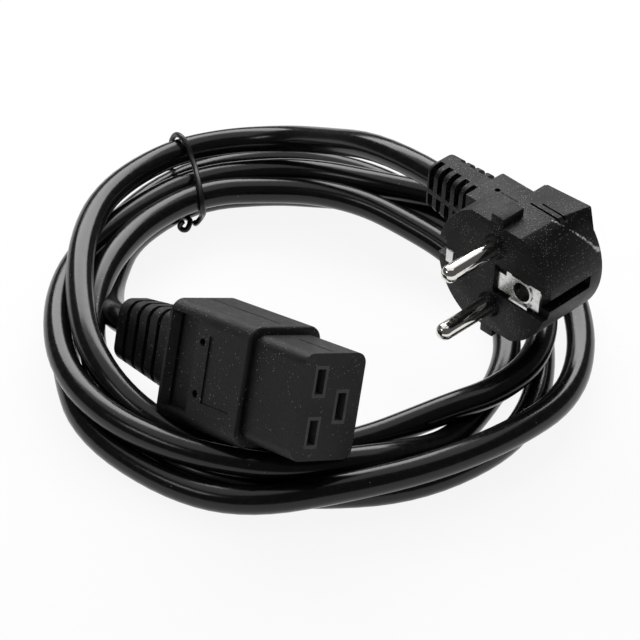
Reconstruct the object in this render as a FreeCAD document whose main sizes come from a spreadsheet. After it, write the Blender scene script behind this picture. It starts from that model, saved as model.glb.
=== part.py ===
import FreeCAD, Part
import Sketcher
import math
import os

# A C19 power connector on its cord set: the connector, the coiled cord with a
# wire tie, and the angled two-pin plug at the far end.  Millimetres, Z up.
# The frame starts at the middle of the connector's mating face.  X follows the
# connector's length, level with the ground, and the ground lies below.

V = FreeCAD.Vector
doc = FreeCAD.newDocument("PowerCordSet")
sheet = doc.addObject("Spreadsheet::Sheet", "Sizes")

SIZES = [
    # connector moulding
    ("noseWidth", 20.6), ("noseHeight", 27.6), ("noseLength", 19.0), ("noseCorner", 3.0),
    ("bodyWidth", 24.2), ("bodyHeight", 31.8), ("bodyLength", 35.5), ("bodyCorner", 4.0),
    ("shoulderRound", 0.9), ("rearBevel", 3.4), ("seamWidth", 0.5), ("seamDepth", 0.35),
    ("faceThickness", 1.5), ("gripLength", 9.0), ("gripHeight", 25.0), ("gripDepth", 2.6),
    ("gripFront", 39.4), ("gripSlope", 1.8), ("dimpleRadius", 1.0), ("dimpleDepth", 2.5),
    ("labelLength", 11.4), ("labelHeight", 17.6), ("labelDepth", 0.4),
    ("reliefLength", 24.5), ("reliefRootWidth", 15.0), ("reliefRootHeight", 22.0),
    ("reliefTipWidth", 12.5), ("reliefTipHeight", 17.0), ("ribPitch", 4.6),
    ("grooveWidth", 1.5), ("grooveDepth", 1.7),
    # contact carrier and contacts
    ("carrierWidth", 17.0), ("carrierHeight", 24.0), ("carrierLength", 19.5),
    ("rimWidth", 4.4), ("rimHeight", 8.2), ("earthRimHeight", 8.9),
    ("slotWidth", 2.7), ("slotHeight", 6.4), ("earthSlotHeight", 7.1),
    ("contactRow", 4.1), ("earthRow", 4.0), ("contactPitch", 13.0),
    ("chamberWidth", 3.6), ("chamberHeight", 6.2), ("contactWall", 0.4),
    ("contactLength", 14.0), ("crimpRadius", 1.75), ("crimpLength", 5.5),
    ("coverThickness", 3.0), ("coreRadius", 1.3),
    # cord and tie
    ("cordRadius", 3.85), ("tieRadius", 0.9),
    # plug moulding
    ("plugRadius", 18.9), ("plugFlat", 33.6), ("discDepth", 11.5), ("lipMargin", 2.5),
    ("lipFlat", 40.0), ("lipFront", 19.5), ("lipThickness", 3.2), ("armHeight", 19.0),
    ("armDepth", 16.0), ("armMargin", 1.6), ("sleeveReach", 17.8), ("sleeveHeight", 15.6),
    ("sleeveDepth", 13.2), ("sleeveTipHeight", 13.6), ("sleeveTipDepth", 10.6),
    ("windowPitch", 3.4), ("windowWidth", 1.8), ("windowDepth", 4.6),
    ("guideWidth", 4.3), ("guideLength", 8.0), ("guideHeight", 2.0),
    ("guideSlotWidth", 4.2), ("guideSlotLength", 16.0), ("guideSlotDepth", 2.9),
    # plug metal and bridge
    ("pinRadius", 2.4), ("pinLength", 19.0), ("pinPitch", 19.0), ("pinTail", 12.0),
    ("collarRadius", 4.3), ("collarHeight", 1.3),
    ("bridgeDepth", 8.0), ("bridgeWidth", 21.0), ("bridgeHeight", 27.0),
    ("earthHoleRadius", 2.75), ("earthHoleOffset", 9.9), ("socketWall", 0.55),
    ("socketLength", 11.5), ("strapThickness", 0.8), ("strapWidth", 8.0),
    ("strapRecess", 2.0), ("clipWidth", 3.8),
]
for row, (alias, value) in enumerate(SIZES, start=1):
    sheet.set("A%d" % row, alias)
    sheet.set("B%d" % row, str(value))
    sheet.setAlias("B%d" % row, alias)
doc.recompute()
S = {alias: value for alias, value in SIZES}
ARM_REACH = S["plugRadius"] + S["armMargin"]

# How the connector and the plug lie on the coil.
CONNECTOR_POSE = FreeCAD.Placement(V(0, 0, 0), FreeCAD.Rotation(0, -15.5, -26.2))
PLUG_POSE = FreeCAD.Placement(V(-4.4, 62.4, 5.3), FreeCAD.Rotation(-88.5, -1.6, -1.6))
GROUND = -34.0
COIL_MIDDLE = V(-50.9, 45.1, 0)
COIL_TURN = 46.74

NODES = []


def node(obj, name):
    """Give an object its node name and list it for writing."""
    obj.Label = name
    NODES.append(obj)
    return obj


def body(name, pose):
    """A PartDesign body lying at a pose."""
    made = doc.addObject("PartDesign::Body", name)
    made.Placement = pose
    return made


def plane_of(owner, role):
    """An origin plane of a body, by its role."""
    return [f for f in owner.Origin.OriginFeatures if f.Role == role][0]


def sketch(owner, name, role, at):
    """An empty sketch on an origin plane, moved to `at` in the sketch's own axes."""
    made = owner.newObject("Sketcher::SketchObject", name)
    made.AttachmentSupport = [(plane_of(owner, role), "")]
    made.MapMode = "FlatFace"
    made.AttachmentOffset = FreeCAD.Placement(V(*at), FreeCAD.Rotation())
    return made


def rectangle(sk, width, height):
    """A rectangle about the sketch's middle; width and height are sheet expressions."""
    corners = [V(-3, -3, 0), V(3, -3, 0), V(3, 3, 0), V(-3, 3, 0)]
    first = sk.GeometryCount
    for i in range(4):
        sk.addGeometry(Part.LineSegment(corners[i], corners[(i + 1) % 4]), False)
    for i in range(4):
        sk.addConstraint(Sketcher.Constraint("Coincident", first + i, 2, first + (i + 1) % 4, 1))
    for i in (0, 2):
        sk.addConstraint(Sketcher.Constraint("Horizontal", first + i))
        sk.addConstraint(Sketcher.Constraint("Vertical", first + i + 1))
    sk.addConstraint(Sketcher.Constraint("Symmetric", first, 1, first + 1, 2, -1, 1))
    w = sk.addConstraint(Sketcher.Constraint("DistanceX", first, 1, first, 2, 6))
    h = sk.addConstraint(Sketcher.Constraint("DistanceY", first + 1, 1, first + 1, 2, 6))
    sk.setExpression("Constraints[%d]" % w, width)
    sk.setExpression("Constraints[%d]" % h, height)


def circle(sk, radius, x=0.0, y=0.0):
    """A circle; radius is a sheet expression, x and y its middle."""
    index = sk.addGeometry(Part.Circle(V(x, y, 0), V(0, 0, 1), 1.0), False)
    if x == 0 and y == 0:
        sk.addConstraint(Sketcher.Constraint("Coincident", index, 3, -1, 1))
    else:
        sk.addConstraint(Sketcher.Constraint("DistanceX", -1, 1, index, 3, x))
        sk.addConstraint(Sketcher.Constraint("DistanceY", -1, 1, index, 3, y))
    r = sk.addConstraint(Sketcher.Constraint("Radius", index, 1.0))
    sk.setExpression("Constraints[%d]" % r, radius)


def extrude(owner, kind, sk, length, backwards):
    """A pad or pocket of a sketch; length is a sheet expression."""
    made = owner.newObject("PartDesign::" + kind, kind + sk.Name)
    made.Profile = sk
    made.Reversed = backwards
    made.setExpression("Length", length)
    doc.recompute()
    return made


def box(owner, kind, name, role, at, width, height, length, backwards=False):
    """A rectangular pad or pocket starting at `at`."""
    sk = sketch(owner, name, role, at)
    rectangle(sk, width, height)
    return extrude(owner, kind, sk, length, backwards)


def edges(feature, test):
    """Names of the edges whose middle point and direction pass a test."""
    found = []
    for i, edge in enumerate(feature.Shape.Edges, start=1):
        middle = edge.valueAt((edge.FirstParameter + edge.LastParameter) / 2)
        ends = edge.valueAt(edge.LastParameter) - edge.valueAt(edge.FirstParameter)
        length = ends.Length or 1.0
        if test(middle, ends / length, edge):
            found.append("Edge%d" % i)
    return found


def dress(owner, kind, feature, test, prop, size):
    """A fillet or chamfer on the edges that pass a test."""
    names = edges(feature, test)
    if not names:
        raise RuntimeError("no edges for " + kind)
    made = owner.newObject("PartDesign::" + kind, kind + feature.Name)
    made.Base = (feature, names)
    made.setExpression(prop, size)
    doc.recompute()
    return made


def along(direction, axis):
    """True where a unit direction follows axis 0, 1 or 2."""
    return abs((direction.x, direction.y, direction.z)[axis]) > 0.999


# The plane roles: a sketch on the YZ plane has its X along Y, its Y along Z and
# its normal along X; on XZ its normal points to -Y; on XY its normal is Z.
YZ, XZ, XY = "YZ_Plane", "XZ_Plane", "XY_Plane"

# ---- connector contacts, carrier and cover ----------------------------------
CONTACTS = [
    ("line_contact", -S["contactRow"], S["contactPitch"] / 2, "slotHeight", "rimHeight"),
    ("neutral_contact", -S["contactRow"], -S["contactPitch"] / 2, "slotHeight", "rimHeight"),
    ("earth_contact", S["earthRow"], 0.0, "earthSlotHeight", "earthRimHeight"),
]
CARRIER_BACK = S["faceThickness"] + S["carrierLength"]
CHAMBER_BACK = 3.0 + S["contactLength"]
CRIMP_FRONT = CHAMBER_BACK
CRIMP_BACK = CARRIER_BACK + S["coverThickness"] + S["crimpLength"]

carrier = body("ContactCarrier", CONNECTOR_POSE)
block = box(carrier, "Pad", "CarrierBlock", YZ, (0, 0, -CARRIER_BACK), "Sizes.carrierWidth",
            "Sizes.carrierHeight", "Sizes.carrierLength")
dress(carrier, "Fillet", block, lambda m, d, e: along(d, 0), "Radius", "Sizes.noseCorner / 2")
for name, y, z, slot, rim in CONTACTS:
    box(carrier, "Pad", name + "Rim", YZ, (y, z, -S["faceThickness"]), "Sizes.rimWidth",
        "Sizes." + rim, "Sizes.faceThickness")
for name, y, z, slot, rim in CONTACTS:
    box(carrier, "Pocket", name + "Slot", YZ, (y, z, 0), "Sizes.slotWidth",
        "Sizes." + slot, "3")
    box(carrier, "Pocket", name + "Chamber", YZ, (y, z, -3), "Sizes.chamberWidth",
        "Sizes.chamberHeight", "Sizes.contactLength")
    sk = sketch(carrier, name + "Passage", YZ, (y, z, -CRIMP_FRONT))
    circle(sk, "Sizes.crimpRadius")
    extrude(carrier, "Pocket", sk, "Sizes.carrierLength", False)
node(carrier, "contact_carrier")

cover = body("CarrierCover", CONNECTOR_POSE)
plate = box(cover, "Pad", "CoverPlate", YZ, (0, 0, -CARRIER_BACK), "Sizes.carrierWidth - 1",
            "Sizes.carrierHeight - 1", "Sizes.coverThickness", True)
dress(cover, "Fillet", plate, lambda m, d, e: along(d, 0), "Radius", "Sizes.noseCorner / 2")
for name, y, z, slot, rim in CONTACTS:
    sk = sketch(cover, name + "Way", YZ, (y, z, -CARRIER_BACK))
    circle(sk, "Sizes.crimpRadius")
    extrude(cover, "Pocket", sk, "Sizes.coverThickness", False)
node(cover, "carrier_cover")

for name, y, z, slot, rim in CONTACTS:
    contact = body(name.title().replace("_", ""), CONNECTOR_POSE)
    box(contact, "Pad", name + "Box", YZ, (y, z, -3), "Sizes.chamberWidth",
        "Sizes.chamberHeight", "Sizes.contactLength", True)
    sk = sketch(contact, name + "Barrel", YZ, (y, z, -CHAMBER_BACK))
    circle(sk, "Sizes.crimpRadius")
    extrude(contact, "Pad", sk, "%g" % (CRIMP_BACK - CHAMBER_BACK), True)
    box(contact, "Pocket", name + "Mouth", YZ, (y, z, -3),
        "Sizes.chamberWidth - 2 * Sizes.contactWall",
        "Sizes.chamberHeight - 2 * Sizes.contactWall",
        "Sizes.contactLength - Sizes.contactWall")
    sk = sketch(contact, name + "Wire", YZ, (y, z, -CRIMP_BACK))
    circle(sk, "Sizes.coreRadius")
    extrude(contact, "Pocket", sk, "Sizes.crimpLength", True)
    node(contact, name)

# ---- insulated cores ---------------------------------------------------------
RELIEF_TIP = S["noseLength"] + S["bodyLength"] + S["reliefLength"]
CORE_SPREAD = 1.75
CORD_RISE = 1.6


def tube(name, points, tangents, radius, pose):
    """A round solid swept along a smooth curve through a few points."""
    curve = Part.BSplineCurve()
    curve.interpolate(Points=points, InitialTangent=tangents[0], FinalTangent=tangents[1])
    spine = doc.addObject("Part::Feature", name + "Spine")
    spine.Shape = Part.Wire(curve.toShape())
    ring = doc.addObject("Part::Circle", name + "Section")
    ring.setExpression("Radius", radius)
    ring.Placement = FreeCAD.Placement(points[0], FreeCAD.Rotation(V(0, 0, 1), tangents[0]))
    made = doc.addObject("Part::Sweep", name)
    made.Sections = [ring]
    made.Spine = (spine, ["Edge1"])
    made.Solid = True
    made.Frenet = False
    doc.recompute()
    made.Placement = pose
    return made


def gathered(index, turn=90.0):
    """Where core number `index` lies in the cord's section."""
    angle = math.radians(turn + 120.0 * index)
    return CORE_SPREAD * math.cos(angle), CORE_SPREAD * math.sin(angle)


CORES = []
for name, contact, seat in (("line_core", 0, 0), ("earth_core", 2, 2), ("neutral_core", 1, 1)):
    y, z = CONTACTS[contact][1:3]
    gy, gz = gathered(seat, 110.0)
    start = CRIMP_BACK - S["crimpLength"]
    core = tube("Connector" + name.title().replace("_", ""),
                [V(-start, y, z), V(-CRIMP_BACK - 3, y, z),
                 V(-RELIEF_TIP + 22, gy, gz + CORD_RISE),
                 V(-RELIEF_TIP, gy, gz + CORD_RISE)],
                [V(-1, 0, 0), V(-1, 0, 0)], "Sizes.coreRadius", CONNECTOR_POSE)
    CORES.append(node(core, name))

# ---- connector moulding ------------------------------------------------------
shell = body("ConnectorShell", CONNECTOR_POSE)
BODY_BACK = S["noseLength"] + S["bodyLength"]
main = box(shell, "Pad", "Housing", YZ, (0, 0, -S["noseLength"]), "Sizes.bodyWidth",
           "Sizes.bodyHeight", "Sizes.bodyLength", True)
main = dress(shell, "Fillet", main, lambda m, d, e: along(d, 0), "Radius", "Sizes.bodyCorner")
main = dress(shell, "Chamfer", main, lambda m, d, e: abs(m.x + BODY_BACK) < 0.01,
             "Size", "Sizes.rearBevel")
main = dress(shell, "Fillet", main,
             lambda m, d, e: abs(m.x + S["noseLength"]) < 0.01, "Radius", "Sizes.shoulderRound")
sk = sketch(shell, "Nose", YZ, (0, 0, -S["noseLength"]))
rectangle(sk, "Sizes.noseWidth", "Sizes.noseHeight")
nose = extrude(shell, "Pad", sk, "Sizes.noseLength", False)
nose = dress(shell, "Fillet", nose,
             lambda m, d, e: along(d, 0) and m.x > -S["noseLength"] and e.Length > 5,
             "Radius", "Sizes.noseCorner")

# The bend relief: a tapering sleeve with ring grooves.
relief_root = sketch(shell, "ReliefRoot", YZ, (0, 0, -BODY_BACK))
rectangle(relief_root, "Sizes.reliefRootWidth", "Sizes.reliefRootHeight")
relief_tip = sketch(shell, "ReliefTip", YZ, (0, CORD_RISE / 2, -RELIEF_TIP))
rectangle(relief_tip, "Sizes.reliefTipWidth", "Sizes.reliefTipHeight")
relief = shell.newObject("PartDesign::AdditiveLoft", "Relief")
relief.Profile = relief_root
relief.Sections = [relief_tip]
relief.Ruled = True
doc.recompute()
relief = dress(shell, "Fillet", relief,
               lambda m, d, e: m.x < -BODY_BACK - 5 and abs(d.x) > 0.9, "Radius",
               "Sizes.bodyCorner")
for groove in range(4):
    back = 5.6 + groove * S["ribPitch"]
    share = back / S["reliefLength"]
    sk = sketch(shell, "Groove%d" % groove, YZ, (0, 0, -BODY_BACK - back))
    rectangle(sk, "Sizes.reliefRootWidth * 2", "Sizes.reliefRootHeight * 2")
    rectangle(sk, "Sizes.reliefRootWidth - (Sizes.reliefRootWidth - Sizes.reliefTipWidth) * %g"
              " - 2 * Sizes.grooveDepth" % share,
              "Sizes.reliefRootHeight - (Sizes.reliefRootHeight - Sizes.reliefTipHeight) * %g"
              " - 2 * Sizes.grooveDepth" % share)
    extrude(shell, "Pocket", sk, "Sizes.grooveWidth", False)

# Finger grips, small round dimples and the bare label panel, on both broad sides.
for side in (-1, 1):
    out = side * S["bodyWidth"] / 2
    tag = "Near" if side < 0 else "Far"
    grip = box(shell, "Pocket", "Grip" + tag, XZ,
               (-S["gripFront"] - S["gripLength"] / 2, 0.6, -out), "Sizes.gripLength",
               "Sizes.gripHeight", "Sizes.gripDepth", side > 0)
    dress(shell, "Chamfer", grip,
          lambda m, d, e: abs(m.x + S["gripFront"] + S["gripLength"]) < 0.01
          and abs(abs(m.y) - S["bodyWidth"] / 2) < 0.05 and along(d, 2),
          "Size", "Sizes.gripSlope")
    for i, z in enumerate((7.6, -6.0)):
        sk = sketch(shell, "Dimple%s%d" % (tag, i), XZ, (-36.8, z, -out))
        circle(sk, "Sizes.dimpleRadius")
        extrude(shell, "Pocket", sk, "Sizes.dimpleDepth", side > 0)
    if side < 0:
        box(shell, "Pocket", "Label", XZ, (-28.6, 1.0, -out), "Sizes.labelLength",
            "Sizes.labelHeight", "Sizes.labelDepth", False)
# The parting line along the middle of both narrow sides.
for side in (-1, 1):
    tag = "Top" if side > 0 else "Bottom"
    box(shell, "Pocket", "BodySeam" + tag, XY, (-36.0, 0, side * S["bodyHeight"] / 2),
        "Sizes.bodyLength - 8", "Sizes.seamWidth", "Sizes.seamDepth", side < 0)
    box(shell, "Pocket", "NoseSeam" + tag, XY, (-8.0, 0, side * S["noseHeight"] / 2),
        "Sizes.noseLength - 6", "Sizes.seamWidth", "Sizes.seamDepth", side < 0)

# The room for the carrier, its rims and its cover.
room = box(shell, "Pocket", "CarrierRoom", YZ, (0, 0, -CARRIER_BACK), "Sizes.carrierWidth",
           "Sizes.carrierHeight", "Sizes.carrierLength", True)
for name, y, z, slot, rim in CONTACTS:
    box(shell, "Pocket", name + "Window", YZ, (y, z, 0), "Sizes.rimWidth", "Sizes." + rim,
        "Sizes.faceThickness")


def carved(name, label, base, tools):
    """A node made of a body with the pieces it is moulded round taken out of it."""
    for i, tool in enumerate(tools):
        cut = doc.addObject("Part::Cut", "%sCarved%d" % (name, i))
        cut.Base = base
        cut.Tool = tool
        cut.Refine = False
        base = cut
    doc.recompute()
    return node(base, label)


CONTACT_NODES = [n for n in NODES if n.Label.endswith("_contact")]
carved("Connector", "connector_shell", shell, [cover] + CONTACT_NODES + CORES)

# ---- plug pins, socket, strap and bridge ------------------------------------
DISC_BACK = S["discDepth"]
EARTH_Y = S["earthHoleOffset"]
STRAP_BACK = S["strapRecess"]
STRAP_FRONT = STRAP_BACK - S["strapThickness"]
PINS = []
for name, z in (("line_pin", S["pinPitch"] / 2), ("neutral_pin", -S["pinPitch"] / 2)):
    pin = body(name.title().replace("_", ""), PLUG_POSE)
    sk = sketch(pin, name + "Round", YZ, (0, z, S["collarHeight"]))
    circle(sk, "Sizes.pinRadius")
    shaft = extrude(pin, "Pad", sk, "Sizes.pinLength - Sizes.collarHeight", False)
    dress(pin, "Fillet", shaft, lambda m, d, e: abs(m.x - S["pinLength"]) < 0.01, "Radius",
          "Sizes.pinRadius - 0.05")
    sk = sketch(pin, name + "Tail", YZ, (0, z, S["collarHeight"]))
    circle(sk, "Sizes.pinRadius - 0.5")
    extrude(pin, "Pad", sk, "Sizes.pinTail + Sizes.collarHeight", True)
    PINS.append(node(pin, name))

socket = body("EarthSocket", PLUG_POSE)
sk = sketch(socket, "SocketRound", YZ, (EARTH_Y, 0, -STRAP_FRONT + 0.4))
circle(sk, "Sizes.earthHoleRadius + Sizes.socketWall")
extrude(socket, "Pad", sk, "Sizes.socketLength", True)
sk = sketch(socket, "SocketBore", YZ, (EARTH_Y, 0, -STRAP_FRONT + 0.4))
circle(sk, "Sizes.earthHoleRadius")
extrude(socket, "Pocket", sk, "Sizes.socketLength - Sizes.socketWall", False)
node(socket, "earth_socket")
SOCKET_BACK = STRAP_FRONT - 0.4 + S["socketLength"]

strap = body("EarthStrap", PLUG_POSE)
box(strap, "Pad", "StrapPlate", YZ, (9.9, 0, -STRAP_BACK), "11.6", "Sizes.strapWidth",
    "Sizes.strapThickness")
box(strap, "Pad", "StrapFlag", YZ, (3.0, -1.0, -STRAP_BACK), "4.0", "5.6",
    "Sizes.strapThickness")
box(strap, "Pad", "StrapBar", YZ, (-6.6, 0, -STRAP_BACK), "18.8", "2.6",
    "Sizes.strapThickness")
for side in (-1, 1):
    tag = "Up" if side > 0 else "Down"
    box(strap, "Pad", "Flange" + tag, YZ, (9.6, side * (S["strapWidth"] / 2 - 0.35),
        -STRAP_FRONT), "6.2", "0.7", "Sizes.strapRecess - Sizes.strapThickness - 0.1")
box(strap, "Pad", "ClipRight", YZ, (15.3, 0, -STRAP_FRONT), "Sizes.strapThickness",
    "Sizes.clipWidth", "Sizes.guideSlotLength - 2", True)
box(strap, "Pad", "ClipLeft", YZ, (-15.6, 0, -STRAP_FRONT + 0.6), "Sizes.strapThickness",
    "Sizes.clipWidth", "Sizes.discDepth - 2", True)
sk = sketch(strap, "StrapHole", YZ, (EARTH_Y, 0, 0))
circle(sk, "Sizes.earthHoleRadius + Sizes.socketWall")
extrude(strap, "Pocket", sk, "Sizes.strapRecess", False)
node(strap, "earth_strap")

bridge = body("PlugBridge", PLUG_POSE)
block = box(bridge, "Pad", "BridgeBlock", YZ, (1.6, 0, -STRAP_BACK), "Sizes.bridgeWidth",
            "Sizes.bridgeHeight", "Sizes.bridgeDepth", True)
dress(bridge, "Fillet", block, lambda m, d, e: along(d, 0), "Radius", "3")
for name, y, z, radius in (("LineWay", 0, 0.5, "Sizes.pinRadius - 0.5"),
                           ("NeutralWay", 0, -0.5, "Sizes.pinRadius - 0.5"),
                           ("EarthWay", EARTH_Y, 0, "Sizes.earthHoleRadius + Sizes.socketWall")):
    sk = sketch(bridge, name, YZ, (y, z * S["pinPitch"], 0))
    circle(sk, radius)
    extrude(bridge, "Pocket", sk, "Sizes.pinTail", False)
node(bridge, "plug_bridge")

# ---- plug cores --------------------------------------------------------------
TIP_Y = -ARM_REACH - S["sleeveReach"]
TIP = V(-20.6, TIP_Y, 0.8)
TAIL = -S["pinTail"]
PLUG_CORES = []
for name, start, bends, angle in (
        ("plug_line_core", V(TAIL, 0, 9.5), (V(-17, -5, 6.6), V(-19.6, -20, 2.4)), 60),
        ("plug_neutral_core", V(TAIL, 0, -9.5), (V(-17, -5, -6.6), V(-19.6, -20, -1.6)), -60),
        ("plug_earth_core", V(-SOCKET_BACK, EARTH_Y, 0), (V(-19, 1, 0.2), V(-22.4, -17, 0.6)),
         180)):
    turn = math.radians(angle)
    end = TIP + V(CORE_SPREAD * math.cos(turn), 0, CORE_SPREAD * math.sin(turn))
    core = tube(name.title().replace("_", ""), [start, bends[0], bends[1], end],
                [V(-1, 0, 0), V(0, -1, 0)], "Sizes.coreRadius", PLUG_POSE)
    PLUG_CORES.append(node(core, name))

# ---- plug moulding -----------------------------------------------------------
plug = body("PlugShell", PLUG_POSE)
sk = sketch(plug, "Disc", YZ, (0, 0, 0))
circle(sk, "Sizes.plugRadius")
extrude(plug, "Pad", sk, "Sizes.discDepth", True)
flare_front = sketch(plug, "FlareFront", YZ, (0, 0, -DISC_BACK))
circle(flare_front, "Sizes.plugRadius")
flare_back = sketch(plug, "FlareBack", YZ, (0, 0, -S["lipFront"]))
circle(flare_back, "Sizes.plugRadius + Sizes.lipMargin")
flare = plug.newObject("PartDesign::AdditiveLoft", "Flare")
flare.Profile = flare_front
flare.Sections = [flare_back]
doc.recompute()
sk = sketch(plug, "Lip", YZ, (0, 0, -S["lipFront"]))
circle(sk, "Sizes.plugRadius + Sizes.lipMargin")
lip = extrude(plug, "Pad", sk, "Sizes.lipThickness", True)
dress(plug, "Fillet", lip,
      lambda m, d, e: abs(m.x + S["lipFront"] + S["lipThickness"]) < 0.01, "Radius", "1.2")


def trim(owner, name, role, points, length, at=(0, 0, 0), both=True):
    """Take a straight-sided outline out of a body."""
    made = sketch(owner, name, role, at)
    count = len(points)
    for i in range(count):
        made.addGeometry(Part.LineSegment(V(*points[i], 0), V(*points[(i + 1) % count], 0)),
                         False)
    for i in range(count):
        made.addConstraint(Sketcher.Constraint("Coincident", i, 2, (i + 1) % count, 1))
    pocket = owner.newObject("PartDesign::Pocket", "Trim" + name)
    pocket.Profile = made
    pocket.Midplane = both
    pocket.setExpression("Length", length)
    doc.recompute()
    return pocket


FLAT = S["plugFlat"] / 2
LIP_FLAT = S["lipFlat"] / 2
for side in (-1, 1):
    tag = "Top" if side > 0 else "Bottom"
    trim(plug, "Flat" + tag, XZ,
         [(1, side * FLAT), (-12.6, side * FLAT), (-S["lipFront"], side * LIP_FLAT),
          (-30, side * LIP_FLAT), (-30, side * 40), (1, side * 40)], "80")
    # Behind the disc the flare stops where the arm begins.
    box(plug, "Pocket", "ArmRoom" + tag, XY, (-DISC_BACK - 15, -20.6, side * 40), "30", "40",
        "40 - Sizes.armHeight / 2", side < 0)
arm = box(plug, "Pad", "Arm", XZ, (-DISC_BACK - S["armDepth"] / 2, 0, 0), "Sizes.armDepth",
          "Sizes.armHeight", "Sizes.plugRadius + Sizes.armMargin")
arm = dress(plug, "Fillet", arm,
            lambda m, d, e: along(d, 1) and m.y < -2 and e.Length > 5 and m.x < -25,
            "Radius", "2.5")
root = sketch(plug, "SleeveRoot", XZ, (-20.3, 0, ARM_REACH))
rectangle(root, "Sizes.sleeveDepth", "Sizes.sleeveHeight")
tip = sketch(plug, "SleeveTip", XZ, (TIP.x, TIP.z, ARM_REACH + S["sleeveReach"]))
rectangle(tip, "Sizes.sleeveTipDepth", "Sizes.sleeveTipHeight")
sleeve = plug.newObject("PartDesign::AdditiveLoft", "Sleeve")
sleeve.Profile = root
sleeve.Sections = [tip]
sleeve.Ruled = True
doc.recompute()
sleeve = dress(plug, "Fillet", sleeve,
               lambda m, d, e: m.y < -ARM_REACH - 3 and abs(d.y) > 0.9, "Radius", "2.6")
sleeve = dress(plug, "Fillet", sleeve,
               lambda m, d, e: abs(m.y - TIP_Y) < 0.01, "Radius", "1.4")

# Windows that let the sleeve bend: two rows on the front side, one at the back top.
for i in range(5):
    y = -ARM_REACH - 2.2 - i * S["windowPitch"] * 0.98
    front = -13.5 - i * 0.35
    for side in (-1, 1):
        tag = ("Upper%d" if side > 0 else "Lower%d") % i
        box(plug, "Pocket", "Window" + tag, XY, (front - S["windowDepth"] / 2 + 1.4, y, side * 10),
            "Sizes.windowDepth + 2.8", "Sizes.windowWidth", "9.2", side < 0)
    if i < 4:
        for side in (-1, 1):
            tag = ("Upper%d" if side > 0 else "Lower%d") % i
            box(plug, "Pocket", "Notch" + tag, XY, (-26.2, y, side * 10),
                "5.4", "Sizes.windowWidth", "5.6", side < 0)

# Guide ribs and their side slots, pin collars, the strap's recess and the small marks.
for side in (-1, 1):
    tag = "Top" if side > 0 else "Bottom"
    box(plug, "Pad", "Guide" + tag, YZ, (0, side * (FLAT + S["guideHeight"] / 2 - 0.5), 0),
        "Sizes.guideWidth", "Sizes.guideHeight + 1", "Sizes.guideLength", True)
    sk = sketch(plug, "Collar" + tag, YZ, (0, side * S["pinPitch"] / 2, 0))
    circle(sk, "Sizes.collarRadius")
    collar = extrude(plug, "Pad", sk, "Sizes.collarHeight", False)
    dress(plug, "Chamfer", collar, lambda m, d, e: abs(m.x - S["collarHeight"]) < 0.01,
          "Size", "0.5")
box(plug, "Pocket", "StrapRoom", YZ, (10.4, 0, 0), "19", "Sizes.strapWidth + 1",
    "Sizes.strapRecess")
box(plug, "Pocket", "GuideSlotRight", YZ, (17.6, 0, 0), "Sizes.guideSlotDepth + 1",
    "Sizes.guideSlotWidth", "Sizes.guideSlotLength")
box(plug, "Pocket", "GuideSlotLeft", YZ, (-17.6, 0, 0), "Sizes.guideSlotDepth + 0.4",
    "Sizes.guideSlotWidth + 0.8", "Sizes.discDepth - 2")
for i, (x, length) in enumerate(((-12.9, 12.2), (-14.8, 8.0))):
    box(plug, "Pocket", "GripSlot%d" % i, XY, (x, 5.9 + 0.5 * i, 22), "0.9", "%g" % length,
        "8", False)
sk = sketch(plug, "EarthBore", YZ, (EARTH_Y, 0, 0))
circle(sk, "Sizes.earthHoleRadius + Sizes.socketWall")
extrude(plug, "Pocket", sk, "%g" % SOCKET_BACK, False)
sk = sketch(plug, "ArmDimple", XY, (-19.2, -16.2, S["armHeight"] / 2))
circle(sk, "0.8")
extrude(plug, "Pocket", sk, "2", False)
PLUG_INSIDES = PINS + [socket, strap, bridge] + PLUG_CORES
carved("Plug", "plug_shell", plug, PLUG_INSIDES)

# ---- coil, leads and tie -----------------------------------------------------
# Each station of the coil: turn in degrees, middle radius, half width, bottom and top.
STATIONS = [
    (-90, 63.6, 11.0, 0.5, 10.4), (-120, 69.6, 10.6, 0.5, 11.6),
    (-150, 69.3, 8.8, 0.4, 17.6), (180, 67.5, 8.4, 0.6, 20.5),
    (150, 67.4, 9.0, 1.6, 21.4), (120, 68.4, 11.0, 2.9, 21.2),
    (90, 60.2, 12.0, 1.6, 18.5), (60, 53.9, 12.2, 0.7, 18.0),
    (30, 56.8, 13.0, 0.5, 16.4), (0, 60.6, 13.5, 0.5, 15.6),
    (-30, 63.3, 13.8, 0.5, 15.6), (-60, 61.8, 13.4, 0.5, 14.0),
]


def on_coil(turn, radius, height):
    """A place by the coil: turn in degrees, distance from its middle, height."""
    angle = math.radians(turn + COIL_TURN)
    flat = V(math.cos(angle), math.sin(angle), 0) * radius
    return COIL_MIDDLE + flat + V(0, 0, GROUND + height)


def loop_section(turn, radius, half_width, bottom, top):
    """The squarish round outline of the cord bundle at one turn."""
    points = []
    for i in range(8):
        angle = math.radians(45.0 * i + 22.5)
        across = half_width * math.copysign(abs(math.cos(angle)) ** 0.8, math.cos(angle))
        up = (top - bottom) / 2 * math.copysign(abs(math.sin(angle)) ** 0.8, math.sin(angle))
        points.append(on_coil(turn, radius + across, (top + bottom) / 2 + up))
    curve = Part.BSplineCurve()
    curve.interpolate(Points=points, PeriodicFlag=True)
    section = doc.addObject("Part::Feature", "CoilSection")
    section.Shape = Part.Wire(curve.toShape())
    return section


loop = doc.addObject("Part::Loft", "CoilLoop")
loop.Sections = [loop_section(*station) for station in STATIONS]
loop.Solid = True
loop.Ruled = False
loop.Closed = True
doc.recompute()


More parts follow.
